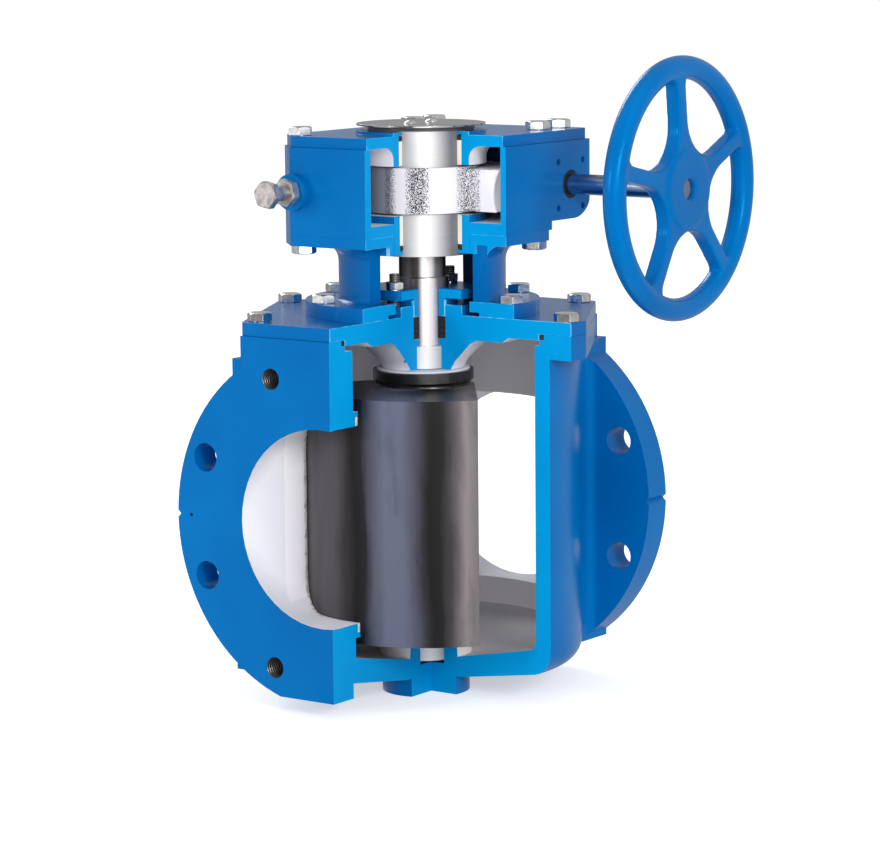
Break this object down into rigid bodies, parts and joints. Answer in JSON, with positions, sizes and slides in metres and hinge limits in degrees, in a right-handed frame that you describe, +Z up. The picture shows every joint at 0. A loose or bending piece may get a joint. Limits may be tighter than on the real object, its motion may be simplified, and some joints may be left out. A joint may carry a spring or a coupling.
{
  "type": "eccentric plug valve",
  "caption": "Flanged eccentric plug valve with a worm gear operator and handwheel, one quarter cut away to show the plug and gearing.",
  "frame": {"origin": "on the stem axis, at the underside of the foot boss", "axes": "+X along the flow towards the outlet flange, +Z up the stem, the handwheel on the -Y side"},
  "size_m": [0.3173, 0.335, 0.4978],
  "materials": {
    "body_paint": "gloss",
    "operator_paint": "gloss",
    "seat_nickel": "machined nickel weld",
    "stainless": "turned",
    "zinc_steel": "bright zinc",
    "dull_steel": "dull",
    "dark_steel": "dark satin",
    "shaft_steel": "turned",
    "bare_iron": "machined",
    "bronze": "turned",
    "bearing_plastic": "satin",
    "plug_rubber": "moulded satin",
    "black_rubber": "matt"
  },
  "bodies": {
    "root": {"valve_body": "body_paint", "seat_ring": "seat_nickel", "lower_journal_bushing": "stainless", "lower_thrust_washer": "bearing_plastic", "bonnet": "body_paint", "bonnet_o_ring": "black_rubber", "bonnet_bolts": "zinc_steel", "upper_journal_bushing": "stainless", "packing_rings": "black_rubber", "packing_gland": "operator_paint", "gland_studs": "zinc_steel", "gland_nuts": "zinc_steel", "gearbox_adapter": "operator_paint", "adapter_base_bolts": "zinc_steel", "adapter_top_bolts": "zinc_steel", "gear_housing": "operator_paint", "housing_cover": "operator_paint", "cover_bolts": "zinc_steel", "upper_sleeve_bushing": "bearing_plastic", "lower_sleeve_bushing": "bearing_plastic", "upper_sleeve_o_ring": "black_rubber", "lower_sleeve_o_ring": "black_rubber", "worm_front_bearing": "bronze", "worm_rear_bearing": "bronze", "worm_end_cap": "operator_paint", "end_cap_screws": "zinc_steel", "shaft_seal": "black_rubber", "stop_nut": "dull_steel"},
    "plug_train": {"plug_casting": "bare_iron", "plug_rubber": "plug_rubber", "upper_thrust_washer": "stainless", "stem_key": "dull_steel", "drive_sleeve": "stainless", "sleeve_key": "dull_steel", "worm_wheel": "bare_iron", "indicator_base": "dark_steel", "indicator_plate": "stainless", "indicator_screws": "zinc_steel"},
    "handwheel_train": {"worm_shaft": "shaft_steel", "shaft_key": "dull_steel", "handwheel": "operator_paint", "handwheel_set_screw": "dull_steel"},
    "open_stop": {"stop_bolt": "dull_steel"}
  },
  "joints": [
    {"name": "handwheel_turn", "type": "hinge", "parent": "root", "child": "handwheel_train", "pos_m": [0.0825, -0.1, 0.39625], "axis": [0, -1, 0], "range_deg": [0, 4230]},
    {"name": "stem_turn", "type": "hinge", "parent": "root", "child": "plug_train", "pos_m": [0, 0, 0.2], "axis": [0, 0, 1], "range_deg": [0, 90]},
    {"name": "open_stop_slide", "type": "slide", "parent": "root", "child": "open_stop", "axis": [-1, 0, 0], "range_m": [0, 0.01]}
  ],
  "couplings": [
    {"joint": "stem_turn", "follows": "handwheel_turn", "ratio": 0.021277}
  ]
}
